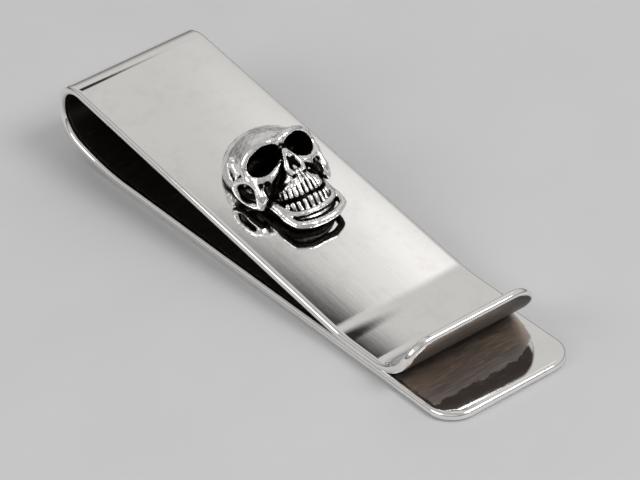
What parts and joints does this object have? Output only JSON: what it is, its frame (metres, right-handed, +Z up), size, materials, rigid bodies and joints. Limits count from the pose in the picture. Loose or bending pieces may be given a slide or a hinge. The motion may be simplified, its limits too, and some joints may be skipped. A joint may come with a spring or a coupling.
{
  "type": "money clip",
  "caption": "Sprung money clip bent from one strip of polished silver, with a small cast skull on the sloping upper leaf and a raised lip at the open end.",
  "frame": {"origin": "middle of the clip's footprint, on the plane the lower leaf rests on", "axes": "+X along the strip towards the open end, +Y across the strip, +Z up from the lower leaf to the skull"},
  "size_m": [0.06, 0.015, 0.0111],
  "materials": {
    "polished_silver": "mirror polished outside, oxidised dark brown-black inside the fold",
    "oxidised_silver": "cast silver, black oxide in the recesses, high points buffed bright",
    "silver_solder": "flowed solder, dull"
  },
  "bodies": {
    "clip_base": {"lower_leaf": "polished_silver", "spring_bend": "polished_silver"},
    "clip_top": {"upper_leaf": "polished_silver", "solder_seam": "silver_solder", "skull": "oxidised_silver"}
  },
  "joints": [
    {"name": "clip_flex", "type": "hinge", "parent": "clip_base", "child": "clip_top", "pos_m": [-0.02625, 0, 0.00475], "axis": [0, -1, 0], "range_deg": [0, 6], "stiffness_Nm_per_rad": 2.7, "springref_deg": -1.72, "deforming": ["spring_bend"]}
  ]
}
